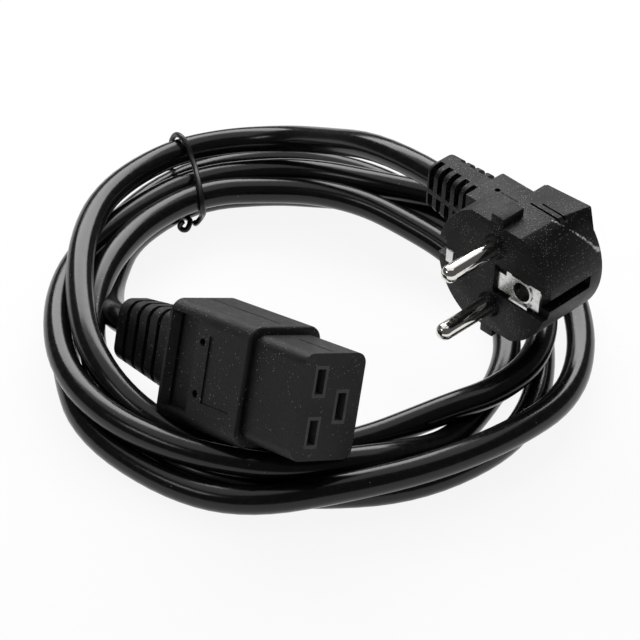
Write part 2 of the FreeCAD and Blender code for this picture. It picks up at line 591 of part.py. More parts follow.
def run(name, points, radius_name):
    """A round piece along straight runs joined by tangent bends."""
    parts = []
    last = points[0]
    for before, corner, after in zip(points, points[1:], points[2:]):
        first = (corner - before).normalize()
        second = (after - corner).normalize()
        turn = first.getAngle(second)
        shorter = min((corner - before).Length, (after - corner).Length)
        radius = 0.45 * shorter / math.tan(turn / 2)
        reach = 0.45 * shorter
        start = corner - first * reach
        end = corner + second * reach
        bow = (second - first).normalize()
        middle = corner + bow * (radius / math.cos(turn / 2) - radius)
        parts.append(Part.LineSegment(last, start).toShape())
        parts.append(Part.Arc(start, middle, end).toShape())
        last = end
        print("%s bend radius %.1f mm" % (name, radius))
    parts.append(Part.LineSegment(last, points[-1]).toShape())
    spine = doc.addObject("Part::Feature", name + "Spine")
    spine.Shape = Part.Wire(parts)
    ring = doc.addObject("Part::Circle", name + "Section")
    ring.setExpression("Radius", "Sizes." + radius_name)
    ring.Placement = FreeCAD.Placement(points[0], FreeCAD.Rotation(V(0, 0, 1),
                                                                   points[1] - points[0]))
    made = doc.addObject("Part::Sweep", name)
    made.Sections = [ring]
    made.Spine = (spine, ["Edge%d" % (i + 1) for i in range(len(parts))])
    made.Solid = True
    doc.recompute()
    whole = spine.Shape.Length * math.pi * S[radius_name] ** 2
    print("%s length %.1f mm, volume %.3f of its section times length"
          % (name, spine.Shape.Length, made.Shape.Volume / whole))
    return made


# The wire tie goes once round the bundle and ends in a short twist inside the loop.
TIE_TURN, TIE_RADIUS, TIE_MIDDLE = 123.0, 68.4, 11.8
TIE_HALF_WIDTH, TIE_HALF_HEIGHT = 14.0, 12.0
TIE_POINTS = 8


def round_bundle(degrees, grow=1.0):
    """A place round the bundle at the tie; 0 is outwards and 90 is up."""
    angle = math.radians(degrees)
    across = math.copysign(abs(math.cos(angle)) ** 0.8, math.cos(angle))
    up = math.copysign(abs(math.sin(angle)) ** 0.8, math.sin(angle))
    return on_coil(TIE_TURN, TIE_RADIUS + grow * TIE_HALF_WIDTH * across,
                   max(TIE_MIDDLE + grow * TIE_HALF_HEIGHT * up, S["tieRadius"]))


tie_loop = run("TieLoop", [round_bundle(205.0 - 340.0 * i / TIE_POINTS)
                           for i in range(TIE_POINTS + 1)], "tieRadius")
TWIST_FOOT = round_bundle(215.0, 0.86)
TWIST_TIP = on_coil(TIE_TURN - 6, TIE_RADIUS - TIE_HALF_WIDTH - 5.0, 3.0)
twist = doc.addObject("Part::Cylinder", "TieTwist")
twist.setExpression("Radius", "Sizes.tieRadius * 1.6")
twist.Height = (TWIST_TIP - TWIST_FOOT).Length
twist.Placement = FreeCAD.Placement(
    TWIST_FOOT, FreeCAD.Rotation(V(0, 0, 1), TWIST_TIP - TWIST_FOOT))
tie = doc.addObject("Part::Fuse", "TwistTie")
tie.Base = tie_loop
tie.Tool = twist
tie.Refine = False
doc.recompute()


def meets(name, label, lead, solid):
    """A lead trimmed to end against the coil."""
    cut = doc.addObject("Part::Cut", name)
    cut.Base = lead
    cut.Tool = solid
    doc.recompute()
    return node(cut, label)


EXIT = CONNECTOR_POSE.multVec(V(-RELIEF_TIP, 0, CORD_RISE))
EXIT_WAY = CONNECTOR_POSE.Rotation.multVec(V(-1, 0, 0))
connector_run = run("ConnectorLead", [
    EXIT, EXIT + EXIT_WAY * 10.0, on_coil(164, 62.0, 6.0)], "cordRadius")
meets("ConnectorLeadCut", "connector_lead", connector_run, loop)
PLUG_EXIT = PLUG_POSE.multVec(TIP)
PLUG_WAY = PLUG_POSE.Rotation.multVec(V(0, -1, 0))
plug_run = run("PlugLead", [
    PLUG_EXIT, PLUG_EXIT + PLUG_WAY * 20.0, on_coil(103, 67.0, 17.0)], "cordRadius")
meets("PlugLeadCut", "plug_lead", plug_run, loop)
node(loop, "cord_coil")
node(tie, "twist_tie")

# ---- checks and files --------------------------------------------------------
for obj in doc.Objects:
    if "Invalid" in obj.State or "Error" in obj.State:
        raise RuntimeError("not computed: " + obj.Name)
os.makedirs("parts", exist_ok=True)
for obj in NODES:
    shape = obj.Shape
    if shape.isNull() or not shape.isValid() or len(shape.Solids) != 1:
        raise RuntimeError("bad solid: %s, %d solids" % (obj.Label, len(shape.Solids)))
    shape.exportStep("parts/%s.step" % obj.Label)
    print("%s %.1f mm3" % (obj.Label, shape.Volume))
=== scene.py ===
import logging
import math
from dataclasses import dataclass
from enum import Enum

import bpy
from mathutils import Euler, Matrix, Vector


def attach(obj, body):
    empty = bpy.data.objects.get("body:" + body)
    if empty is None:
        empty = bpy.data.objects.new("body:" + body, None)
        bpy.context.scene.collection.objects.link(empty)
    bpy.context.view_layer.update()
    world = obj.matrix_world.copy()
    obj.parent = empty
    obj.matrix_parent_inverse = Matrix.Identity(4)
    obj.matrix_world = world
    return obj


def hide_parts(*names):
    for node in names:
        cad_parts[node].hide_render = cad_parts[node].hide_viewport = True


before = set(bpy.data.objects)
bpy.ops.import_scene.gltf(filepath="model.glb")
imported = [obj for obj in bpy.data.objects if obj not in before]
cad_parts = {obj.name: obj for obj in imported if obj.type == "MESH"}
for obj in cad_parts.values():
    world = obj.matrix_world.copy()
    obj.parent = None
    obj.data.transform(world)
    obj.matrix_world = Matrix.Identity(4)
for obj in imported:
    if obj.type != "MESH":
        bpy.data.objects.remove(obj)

log = logging.getLogger("cord_set")

Pair = tuple[float, float]
Triple = tuple[float, float, float]

MM = 0.001
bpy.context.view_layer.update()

# The Mix node's colour sockets, which share their names with its other sockets.
MIX_FIRST, MIX_SECOND, MIX_RESULT = 6, 7, 2
# How nodes are laid out in the editor: how many to a row, and the steps between them.
ROW_LENGTH, ROW_STEP, COLUMN_STEP = 8, 320, 220
# How smooth a tube's spline is.
SPLINE_ORDER, SPLINE_STEPS = 3, 6


class Slot(Enum):
    """The record's material slots."""

    CONNECTOR = "connector_moulding"
    PLUG = "plug_moulding"
    CARRIER = "carrier"
    CONTACT = "contact_metal"
    BROWN = "core_brown"
    BLUE = "core_blue"
    GREEN = "core_green"
    JACKET = "cord_jacket"
    TIE = "tie_coating"
    PIN = "pin_plating"
    EARTH = "earth_metal"


# ---- selecting, and tubes -------------------------------------------------------
def clear_selection() -> None:
    """Leave object mode with nothing selected."""
    if bpy.context.object is not None and bpy.context.object.mode != "OBJECT":
        bpy.ops.object.mode_set(mode="OBJECT")
    bpy.ops.object.select_all(action="DESELECT")


def pick(*pieces: bpy.types.Object) -> None:
    """Select just these pieces, with the last one active.

    Args:
        *pieces: The pieces.
    """
    clear_selection()
    for piece in pieces:
        piece.select_set(True)
    bpy.context.view_layer.objects.active = pieces[-1]


def tube(name: str, points: list[Vector], radius: float, rounding: int) -> bpy.types.Object:
    """Add a round tube along one smooth spline.

    Args:
        name: Its name.
        points: The spline's points, in metres.
        radius: The tube's radius, in metres.
        rounding: How finely its section is rounded.

    Returns:
        The tube, which is a curve.
    """
    clear_selection()
    data = bpy.data.curves.new(name, "CURVE")
    data.dimensions = "3D"
    spline = data.splines.new("NURBS")
    spline.points.add(len(points) - 1)
    for point, place in zip(spline.points, points):
        point.co = (*place, 1.0)
    spline.order_u = SPLINE_ORDER
    spline.use_endpoint_u = True
    spline.resolution_u = SPLINE_STEPS
    data.bevel_depth = radius
    data.bevel_resolution = rounding
    data.use_fill_caps = True
    made = bpy.data.objects.new(name, data)
    bpy.context.scene.collection.objects.link(made)
    return made


# ---- small helpers for node trees -----------------------------------------------
def link(tree: bpy.types.NodeTree, source: bpy.types.NodeSocket,
         target: bpy.types.NodeSocket) -> None:
    """Join two sockets of a node tree."""
    tree.links.new(source, target)


def add_node(tree: bpy.types.NodeTree, kind: str, **values: object) -> bpy.types.Node:
    """Add a node to a tree, in the editor's next free place, and set its properties.

    Args:
        tree: The node tree.
        kind: The node's type name.
        **values: Properties of the node by name.

    Returns:
        The new node.
    """
    row, column = divmod(len(tree.nodes), ROW_LENGTH)
    made = tree.nodes.new(kind)
    made.location = (column * COLUMN_STEP, -row * ROW_STEP)
    for name, value in values.items():
        setattr(made, name, value)
    return made


def maths(tree: bpy.types.NodeTree, operation: str, first: object, second: object,
          clamp: bool = False) -> bpy.types.NodeSocket:
    """Add a Math node.

    Args:
        tree: The node tree.
        operation: The node's operation.
        first: A socket or a number.
        second: A socket or a number.
        clamp: Keep the result from 0 to 1.

    Returns:
        The node's output socket.
    """
    made = add_node(tree, "ShaderNodeMath", operation=operation, use_clamp=clamp)
    for value, target in zip((first, second), made.inputs):
        if isinstance(value, bpy.types.NodeSocket):
            link(tree, value, target)
        else:
            target.default_value = value
    return made.outputs[0]


def spread(tree: bpy.types.NodeTree, value: bpy.types.NodeSocket, span: Pair,
           onto: Pair = (0.0, 1.0)) -> bpy.types.NodeSocket:
    """Map a value smoothly from one range to another.

    Args:
        tree: The node tree.
        value: The value to map.
        span: The start and end of its range.
        onto: The result at the start and at the end.

    Returns:
        The mapped value's socket.
    """
    made = add_node(tree, "ShaderNodeMapRange", interpolation_type="SMOOTHSTEP")
    link(tree, value, made.inputs["Value"])
    for label, number in zip(("From Min", "From Max", "To Min", "To Max"), (*span, *onto)):
        made.inputs[label].default_value = number
    return made.outputs["Result"]


def mix_to_output(tree: bpy.types.NodeTree, factor: bpy.types.NodeSocket,
                  first: bpy.types.Node, second: bpy.types.Node, output: str) -> None:
    """Send a mix of two shaders to a tree's output.

    Args:
        tree: The node tree.
        factor: 0 for the first shader and 1 for the second.
        first: A shader node.
        second: A shader node.
        output: The output node's name.
    """
    both = add_node(tree, "ShaderNodeMixShader")
    sources = (factor, first.outputs[0], second.outputs[0])
    for source, target in zip(sources, both.inputs):
        link(tree, source, target)
    link(tree, both.outputs[0], tree.nodes[output].inputs["Surface"])


class Patterns:
    """The shader groups that more than one finish uses."""

    # The grain: the pits' share of its scale, and how near a pit's middle they are deep.
    pit_share: float = 0.55
    pit_depth: Pair = (0.1, 0.75)
    # Dust specks, which on the mouldings also stand in for painted glints of the grain: how sharp
    # a speck's rim is, how it gathers, and how its brightness varies.
    speck_rim: float = 9.0
    gathering: Pair = (0.3, 0.72)
    gathered: Pair = (0.15, 2.0)
    speck_shade: Pair = (0.75, 0.25)
    # Where a drawn surface's rubs start and end in its noise, and a scuff in its own.
    rub_span: Pair = (0.42, 0.78)
    scuff_span: Pair = (0.2, 0.55)

    def __init__(self) -> None:
        """Build every group once."""
        self.grain = self._grain()
        self.dust_and_glints = self._dust_and_glints()
        self.streaks = self._streaks()
        self.scuff = self._scuff()

    @staticmethod
    def _start(name: str, inputs: dict[str, float], outputs: tuple[str, ...],
               places: tuple[str, ...] = ()
               ) -> tuple[bpy.types.NodeTree, bpy.types.Node, bpy.types.Node]:
        """Start a group with its sockets.

        Args:
            name: The group's name.
            inputs: Its number inputs with their usual values.
            outputs: Its outputs.
            places: Its vector inputs, apart from the coordinates that every group reads.

        Returns:
            The group's tree, its input node and its output node.
        """
        tree = bpy.data.node_groups.new(name, "ShaderNodeTree")
        for label in ("Vector", *places):
            tree.interface.new_socket(label, in_out="INPUT", socket_type="NodeSocketVector")
        for label, value in inputs.items():
            made = tree.interface.new_socket(label, in_out="INPUT",
                                             socket_type="NodeSocketFloat")
            made.default_value = value
        for label in outputs:
            tree.interface.new_socket(label, in_out="OUTPUT", socket_type="NodeSocketFloat")
        return tree, add_node(tree, "NodeGroupInput"), add_node(tree, "NodeGroupOutput")

    @staticmethod
    def _noise(tree: bpy.types.NodeTree, entry: bpy.types.Node, scale: str,
               detail: float) -> bpy.types.NodeSocket:
        """Add a noise that reads the group's coordinates.

        Args:
            tree: The group's tree.
            entry: The group's input node.
            scale: The input that sets its scale.
            detail: How many finer layers it has.

        Returns:
            The noise's value.
        """
        made = add_node(tree, "ShaderNodeTexNoise")
        link(tree, entry.outputs["Vector"], made.inputs["Vector"])
        link(tree, entry.outputs[scale], made.inputs["Scale"])
        made.inputs["Detail"].default_value = detail
        return made.outputs["Fac"]

    @staticmethod
    def _cells(tree: bpy.types.NodeTree, entry: bpy.types.Node,
               scale: bpy.types.NodeSocket) -> bpy.types.Node:
        """Add scattered cells that read the group's coordinates.

        Args:
            tree: The group's tree.
            entry: The group's input node.
            scale: The socket that sets their scale.

        Returns:
            The cells' node.
        """
        made = add_node(tree, "ShaderNodeTexVoronoi")
        link(tree, entry.outputs["Vector"], made.inputs["Vector"])
        link(tree, scale, made.inputs["Scale"])
        return made

    def _grain(self) -> bpy.types.NodeTree:
        """Build the spark-eroded grain of a moulding: pits of two sizes and a slow mottle.

        Returns:
            The group.
        """
        tree, entry, leave = self._start(
            "MouldingGrain", {"Scale": 2600.0, "Pits": 0.5, "Mottle": 90.0},
            ("Height", "Mottle"))
        fine = self._noise(tree, entry, "Scale", 2.0)
        cells = self._cells(tree, entry, maths(tree, "MULTIPLY", entry.outputs["Scale"],
                                               self.pit_share))
        pits = spread(tree, cells.outputs["Distance"], self.pit_depth)
        sunk = maths(tree, "MULTIPLY", pits, entry.outputs["Pits"])
        link(tree, maths(tree, "ADD", fine, sunk), leave.inputs["Height"])
        link(tree, self._noise(tree, entry, "Mottle", 4.0), leave.inputs["Mottle"])
        return tree

    def _dust_and_glints(self) -> bpy.types.NodeTree:
        """Build scattered pale specks, gathered in some places and absent in others: dust, and on
        the mouldings painted glints of the grain too.

        Returns:
            The group.
        """
        tree, entry, leave = self._start(
            "DustAndGlintSpecks", {"Scale": 1100.0, "Amount": 0.2, "Size": 0.3, "Patches": 120.0},
            ("Mask",))
        cells = self._cells(tree, entry, entry.outputs["Scale"])
        near = maths(tree, "SUBTRACT", entry.outputs["Size"], cells.outputs["Distance"])
        speck = maths(tree, "MULTIPLY", near, self.speck_rim, clamp=True)
        parts = add_node(tree, "ShaderNodeSeparateColor")
        link(tree, cells.outputs["Color"], parts.inputs["Color"])
        patch = spread(tree, self._noise(tree, entry, "Patches", 3.0), self.gathering,
                       self.gathered)
        share = maths(tree, "MULTIPLY", entry.outputs["Amount"], patch)
        chosen = maths(tree, "LESS_THAN", parts.outputs["Red"], share)
        varied, least = self.speck_shade
        bright = maths(tree, "ADD", maths(tree, "MULTIPLY", parts.outputs["Green"], varied),
                       least)
        link(tree, maths(tree, "MULTIPLY", maths(tree, "MULTIPLY", speck, chosen), bright),
             leave.inputs["Mask"])
        return tree

    def _streaks(self) -> bpy.types.NodeTree:
        """Build the slow ripples and hairline rubs of an extruded or drawn surface.

        Returns:
            The group.
        """
        tree, entry, leave = self._start(
            "DrawnSurface", {"Scale": 110.0, "Fine": 700.0}, ("Height", "Rub"))
        link(tree, self._noise(tree, entry, "Scale", 1.5), leave.inputs["Height"])
        fine = self._noise(tree, entry, "Fine", 3.0)
        link(tree, spread(tree, fine, self.rub_span), leave.inputs["Rub"])
        return tree

    def _scuff(self) -> bpy.types.NodeTree:
        """Build a rubbed, broken band along a line from one place to another.

        Returns:
            The group.
        """
        tree, entry, leave = self._start(
            "EdgeScuff", {"Width": 0.0012, "Break": 1500.0, "Amount": 0.5}, ("Mask",),
            ("Start", "End"))

        def vector(operation: str, *values: bpy.types.NodeSocket) -> bpy.types.Node:
            """Add a Vector Math node.

            Args:
                operation: The node's operation.
                *values: The sockets that it reads.

            Returns:
                The node.
            """
            made = add_node(tree, "ShaderNodeVectorMath", operation=operation)
            for value, target in zip(values, made.inputs):
                link(tree, value, target)
            return made

        way = vector("SUBTRACT", entry.outputs["End"], entry.outputs["Start"])
        here = vector("SUBTRACT", entry.outputs["Vector"], entry.outputs["Start"])
        reach = vector("DOT_PRODUCT", here.outputs["Vector"], way.outputs["Vector"])
        whole = vector("DOT_PRODUCT", way.outputs["Vector"], way.outputs["Vector"])
        share = maths(tree, "DIVIDE", reach.outputs["Value"], whole.outputs["Value"], clamp=True)
        foot = vector("SCALE", way.outputs["Vector"])
        link(tree, share, foot.inputs["Scale"])
        off = vector("SUBTRACT", here.outputs["Vector"], foot.outputs["Vector"])
        away = vector("LENGTH", off.outputs["Vector"])
        noise = self._noise(tree, entry, "Break", 4.0)
        gone = maths(tree, "DIVIDE", away.outputs["Value"], entry.outputs["Width"])
        fade = maths(tree, "SUBTRACT", 1.0, gone, clamp=True)
        rough = maths(tree, "ADD", fade, maths(tree, "SUBTRACT", noise, 1.0))
        gained = maths(tree, "ADD", rough, maths(tree, "MULTIPLY", entry.outputs["Amount"], fade))
        link(tree, spread(tree, gained, self.scuff_span), leave.inputs["Mask"])
        return tree

    @staticmethod
    def use(tree: bpy.types.NodeTree, group: bpy.types.NodeTree,
            vector: bpy.types.NodeSocket, **values: object) -> bpy.types.Node:
        """Place a group in a material.

        Args:
            tree: The material's tree.
            group: The group.
            vector: The coordinates that it reads.
            **values: Its inputs by name.

        Returns:
            The group's node.
        """
        made = add_node(tree, "ShaderNodeGroup", node_tree=group)
        link(tree, vector, made.inputs["Vector"])
        for name, value in values.items():
            made.inputs[name].default_value = value
        return made


# ---- where things lie -----------------------------------------------------------
@dataclass(frozen=True)
class Pose:
    """Where an end of the cord set lies.

    Its place is in millimetres, and its turns are the yaw, pitch and roll in degrees.
    """

    place: Triple
    turns: Triple

    def matrix(self) -> Matrix:
        """Work out the pose from millimetres in the end's own axes to metres.

        Returns:
            The pose as a matrix.
        """
        yaw, pitch, roll = (math.radians(part) for part in self.turns)
        spin = (Matrix.Rotation(yaw, 4, "Z") @ Matrix.Rotation(pitch, 4, "Y")
                @ Matrix.Rotation(roll, 4, "X"))
        return Matrix.Translation(Vector(self.place) * MM) @ spin @ Matrix.Scale(MM, 4)

    def point(self, x: float, y: float, z: float) -> Vector:
        """A place given in the end's own axes, in metres."""
        return self.matrix() @ Vector((x, y, z))

    def way(self, x: float, y: float, z: float) -> Vector:
        """A unit direction given in the end's own axes."""
        return (self.matrix().to_3x3() @ Vector((x, y, z))).normalized()


CONNECTOR_POSE = Pose((0.0, 0.0, 0.0), (0.0, -15.5, -26.2))
PLUG_POSE = Pose((-4.4, 62.4, 5.3), (-88.5, -1.6, -1.6))


# ---- finishes -------------------------------------------------------------------
@dataclass(frozen=True)
class Scuff:
    """A worn line on the plug, in millimetres in the plug's own axes."""

    start: Triple
    end: Triple
    width: float
    amount: float


@dataclass(frozen=True)
class Finish:
    """What every finish has."""

    name: str
    slot: Slot
    colour: Triple

    def start(self) -> tuple[bpy.types.Material, bpy.types.NodeTree, bpy.types.Node,
                             bpy.types.NodeSocket]:
        """Start the material.

        Returns:
            The material, its tree, its Principled shader and its object coordinates.
        """
        made = bpy.data.materials.new(self.name)
        made.use_nodes = True
        made.diffuse_color = (*self.colour, 1.0)
        tree = made.node_tree
        place = add_node(tree, "ShaderNodeTexCoord")
        return made, tree, tree.nodes["Principled BSDF"], place.outputs["Object"]

    def build(self, patterns: Patterns) -> bpy.types.Material:
        """Make the material from the shared patterns."""
        raise NotImplementedError

    @staticmethod
    def blend(tree: bpy.types.NodeTree, factor: bpy.types.NodeSocket, first: object,
              second: object) -> bpy.types.NodeSocket:
        """Mix two colours.

        Args:
            tree: The material's tree.
            factor: 0 for the first colour and 1 for the second.
            first: A colour or a socket.
            second: A colour or a socket.

        Returns:
            The mixed colour's socket.
        """
        made = add_node(tree, "ShaderNodeMix", data_type="RGBA")
        link(tree, factor, made.inputs[0])
        for index, value in ((MIX_FIRST, first), (MIX_SECOND, second)):
            if isinstance(value, bpy.types.NodeSocket):
                link(tree, value, made.inputs[index])
            else:
                made.inputs[index].default_value = (*value, 1.0)
        return made.outputs[MIX_RESULT]

    @staticmethod
    def bump(tree: bpy.types.NodeTree, height: bpy.types.NodeSocket, strength: float,
             distance: float) -> bpy.types.NodeSocket:
        """Add a Bump node.

        Args:
            tree: The material's tree.
            height: The height that it reads.
            strength: How much of the bump shows.
            distance: How tall a height of 1 is, in metres.

        Returns:
            The bumped normal's socket.
        """
        made = add_node(tree, "ShaderNodeBump")
        made.inputs["Strength"].default_value = strength
        made.inputs["Distance"].default_value = distance
        link(tree, height, made.inputs["Height"])
        return made.outputs["Normal"]


@dataclass(frozen=True)
class Moulding(Finish):
    """A matte grained black moulding with dust on it, and pale specks that are painted glints of
    its grain.
    """

    pale: Triple = (0.014, 0.014, 0.015)
    roughness: float = 0.48
    smoother: float = 0.06
    rougher: float = 0.08
    gloss: float = 0.26
    grain: float = 3000.0
    grain_height: float = 0.00012
    grain_strength: float = 0.6
    pit_shade: float = 0.35
    # How many pale specks there are, how big and how pale: dust, and painted glints of the grain.
    dust_and_glints: float = 0.07
    speck_size: float = 0.3
    speck_scale: float = 2400.0
    speck_colour: Triple = (0.5, 0.5, 0.5)
    worn_colour: Triple = (0.75, 0.75, 0.74)
    scuffs: tuple[Scuff, ...] = ()
    # Where the mottle shows in the colour and in the gloss, and the pits in the colour.
    mottle_span: Pair = (0.35, 0.7)
    gloss_span: Pair = (0.3, 0.75)
    pit_span: Pair = (0.35, 0.95)

    def build(self, patterns: Patterns) -> bpy.types.Material:
        """Make the material: grain in the bump, and mottle, dust specks that are partly painted
        glints, and scuffs in the colour.

        Args:
            patterns: The shared patterns.

        Returns:
            The material.
        """
        made, tree, shader, place = self.start()
        grain = patterns.use(tree, patterns.grain, place, Scale=self.grain)
        # Pale specks: dust, and painted glints of the grain.
        dust_and_glints = patterns.use(tree, patterns.dust_and_glints, place, Scale=self.speck_scale,
                            Amount=self.dust_and_glints, Size=self.speck_size)
        shade = spread(tree, grain.outputs["Mottle"], self.mottle_span)
        colour = self.blend(tree, shade, self.colour, self.pale)
        pits = maths(tree, "MULTIPLY",
                     spread(tree, grain.outputs["Height"], self.pit_span), self.pit_shade)
        colour = self.blend(tree, pits, colour, self.pale)
        # Dust and painted glints: the specks are blended towards a pale grey.
        colour = self.blend(tree, dust_and_glints.outputs["Mask"], colour, self.speck_colour)
        worn = None
        for mark in self.scuffs:
            scuff = patterns.use(tree, patterns.scuff, place,
                                 Start=PLUG_POSE.point(*mark.start),
                                 End=PLUG_POSE.point(*mark.end),
                                 Width=mark.width * MM, Amount=mark.amount)
            worn = scuff.outputs["Mask"] if worn is None else maths(
                tree, "MAXIMUM", worn, scuff.outputs["Mask"])
        if worn is not None:
            colour = self.blend(tree, worn, colour, self.worn_colour)
        link(tree, colour, shader.inputs["Base Color"])
        rough = spread(tree, grain.outputs["Mottle"], self.gloss_span,
                       (self.roughness - self.smoother, self.roughness + self.rougher))
        link(tree, rough, shader.inputs["Roughness"])
        shader.inputs["Specular IOR Level"].default_value = self.gloss
        link(tree, self.bump(tree, grain.outputs["Height"], self.grain_strength,
                             self.grain_height), shader.inputs["Normal"])
        return made


@dataclass(frozen=True)
class Sheath(Finish):
    """A smooth glossy sheath, drawn through a die."""

    rubbed: Triple = (0.012, 0.012, 0.013)
    rub_shade: float = 0.6
    roughness: float = 0.19
    rougher: float = 0.05
    ior: float = 1.42
    ripple: float = 0.0001
    ripple_strength: float = 0.5
    dust_and_glints: float = 0.012
    speck_size: float = 0.22
    speck_colour: Triple = (0.35, 0.35, 0.35)

    def build(self, patterns: Patterns) -> bpy.types.Material:
        """Make the material: slow ripples under a gloss that rubs dull in places.

        Args:
            patterns: The shared patterns.

        Returns:
            The material.
        """
        made, tree, shader, place = self.start()
        drawn = patterns.use(tree, patterns.streaks, place)
        dust_and_glints = patterns.use(tree, patterns.dust_and_glints, place, Amount=self.dust_and_glints,
                            Size=self.speck_size)
        rub = drawn.outputs["Rub"]
        colour = self.blend(tree, maths(tree, "MULTIPLY", rub, self.rub_shade),
                            self.colour, self.rubbed)
        colour = self.blend(tree, dust_and_glints.outputs["Mask"], colour, self.speck_colour)
        link(tree, colour, shader.inputs["Base Color"])
        rough = spread(tree, rub, (0.0, 1.0), (self.roughness, self.roughness + self.rougher))
        link(tree, rough, shader.inputs["Roughness"])
        shader.inputs["IOR"].default_value = self.ior
        link(tree, self.bump(tree, drawn.outputs["Height"], self.ripple_strength,
                             self.ripple), shader.inputs["Normal"])
        return made


@dataclass(frozen=True)
class Metal(Finish):
    """A plated or folded sheet metal."""

    roughness: float = 0.12
    scratch: float = 0.12
    rub_shade: float = 0.82
    ripple: float = 0.12
    ripple_height: float = 0.00003
    ripple_scale: float = 260.0
    scratch_scale: float = 900.0

    def build(self, patterns: Patterns) -> bpy.types.Material:
        """Make the material: handling marks in the gloss and a faint drawn ripple.

        Args:
            patterns: The shared patterns.

        Returns:
            The material.
        """
        made, tree, shader, place = self.start()
        drawn = patterns.use(tree, patterns.streaks, place, Scale=self.ripple_scale,
                             Fine=self.scratch_scale)
        rub = drawn.outputs["Rub"]
        darker = tuple(part * self.rub_shade for part in self.colour)
        link(tree, self.blend(tree, rub, self.colour, darker), shader.inputs["Base Color"])
        shader.inputs["Metallic"].default_value = 1.0
        rough = spread(tree, rub, (0.0, 1.0), (self.roughness, self.roughness + self.scratch))
        link(tree, rough, shader.inputs["Roughness"])
        link(tree, self.bump(tree, drawn.outputs["Height"], self.ripple,
                             self.ripple_height), shader.inputs["Normal"])
        return made


# ---- the cord and its tie -------------------------------------------------------
@dataclass
class Flex:
    """The free cord: out of the connector, four turns and a bit, and up to the plug."""

    diameter: float = 7.7 * MM
    length: float = 1.8
    rounding: int = 7
    # The ground's height, the coil's middle, and how far its zero direction is turned.
    ground: float = -34.0
    middle: Pair = (-50.9, 45.1)
    turned: float = 46.74
    # The sleeves' ends, in each end's own axes, and how far the cord runs straight there.
    tip: Triple = (-79.0, 0.0, 1.6)
    plug_tip: Triple = (-20.6, -38.3, 0.8)
    straight_out: float = 10.0
    straight_in: float = 20.0
    # Where the cord lies in each turn: degrees round, distance from the middle and
    # height over the ground, in millimetres.
    turns: tuple[tuple[Triple, ...], ...] = (
        ((169, 59.8, 5.2), (159, 62.7, 4.1), (143, 68.5, 3.9), (122, 70.0, 4.6),
         (103, 65.0, 4.0), (90, 60.8, 4.8), (74, 58.0, 7.0), (54, 55.0, 7.3),
         (32, 56.2, 3.9), (10, 60.7, 3.9), (-12, 61.8, 3.9), (-30, 65.9, 3.9),
         (-47, 69.0, 3.9), (-70, 69.6, 3.9), (-93, 67.9, 3.9), (-105, 66.9, 3.9),
         (-122, 67.6, 3.9), (-138, 65.7, 3.9), (-152, 64.2, 4.1)),
        ((-168, 63.7, 8.5), (176, 62.5, 11.9), (160, 61.9, 13.0), (142, 62.1, 12.8),
         (122, 62.5, 11.8), (103, 56.6, 10.9), (90, 52.2, 12.2), (74, 48.5, 12.1),
         (56, 45.2, 11.1), (39, 46.2, 9.3), (19, 50.6, 5.0), (-4, 52.1, 3.9),
         (-24, 53.5, 3.9), (-45, 55.9, 3.9), (-57, 59.3, 4.9), (-70, 62.5, 9.9),
         (-82, 64.4, 12.3), (-94, 65.6, 11.5), (-105, 67.0, 11.3), (-122, 69.3, 11.6),
         (-140, 72.3, 11.7), (-158, 73.7, 12.0)),
        ((-178, 72.6, 12.1), (162, 72.4, 11.3), (142, 69.5, 11.5), (122, 69.5, 11.8),
         (103, 65.0, 11.7), (90, 60.8, 12.8), (74, 55.6, 14.4), (56, 57.7, 14.1),
         (38, 64.9, 13.1), (22, 69.0, 11.4), (6, 70.5, 9.5), (-12, 72.7, 8.5),
         (-30, 74.8, 10.1), (-48, 73.1, 12.3), (-66, 71.6, 11.9), (-83, 72.2, 10.9),
         (-104, 75.3, 5.8), (-121, 75.1, 3.9), (-145, 75.2, 3.9)),
        ((-164, 71.4, 3.9), (178, 70.6, 3.9), (160, 70.4, 3.9), (143, 75.8, 4.7),
         (122, 78.3, 7.8), (103, 77.6, 7.0), (90, 75.2, 6.4), (74, 70.2, 5.2),
         (56, 63.2, 3.9), (38, 64.0, 4.9), (22, 63.0, 8.1), (8, 61.2, 11.8),
         (-8, 61.7, 12.0), (-24, 61.8, 12.0), (-39, 58.3, 11.9), (-50, 53.9, 11.2),
         (-62, 51.1, 8.9), (-76, 51.5, 7.3), (-92, 53.8, 6.3), (-108, 57.2, 6.1),
         (-124, 60.0, 6.3), (-140, 64.2, 10.9)),
        ((-158, 65.9, 15.6), (-178, 65.8, 17.7), (162, 69.7, 18.8), (144, 75.3, 18.3),
         (125, 78.1, 17.2), (112, 75.1, 17.8), (99, 67.0, 21.3), (91, 57.3, 26.9)))

    def on_coil(self, turn: float, radius: float, height: float) -> Vector:
        """Work out a place by the coil, in metres.

        Args:
            turn: Degrees round the coil's middle.
            radius: Distance from the middle, in millimetres.
            height: Height over the ground, in millimetres.

        Returns:
            The place.
        """
        angle = math.radians(turn + self.turned)
        return Vector((self.middle[0] + radius * math.cos(angle),
                       self.middle[1] + radius * math.sin(angle),
                       self.ground + height)) * MM

    def route(self) -> list[Vector]:
        """List the spline's points from the connector's sleeve to the plug's sleeve.

        Returns:
            The points, in metres.
        """
        leave = CONNECTOR_POSE.point(*self.tip)
        points = [leave, leave + CONNECTOR_POSE.way(-1, 0, 0) * self.straight_out * MM]
        points += [self.on_coil(*station) for turn in self.turns for station in turn]
        arrive = PLUG_POSE.point(*self.plug_tip)
        points += [arrive + PLUG_POSE.way(0, -1, 0) * self.straight_in * MM, arrive]
        return points

    def build(self) -> bpy.types.Object:
        """Make the cord as one smooth spline with a round section."""
        return tube("flex", self.route(), self.diameter / 2, self.rounding)


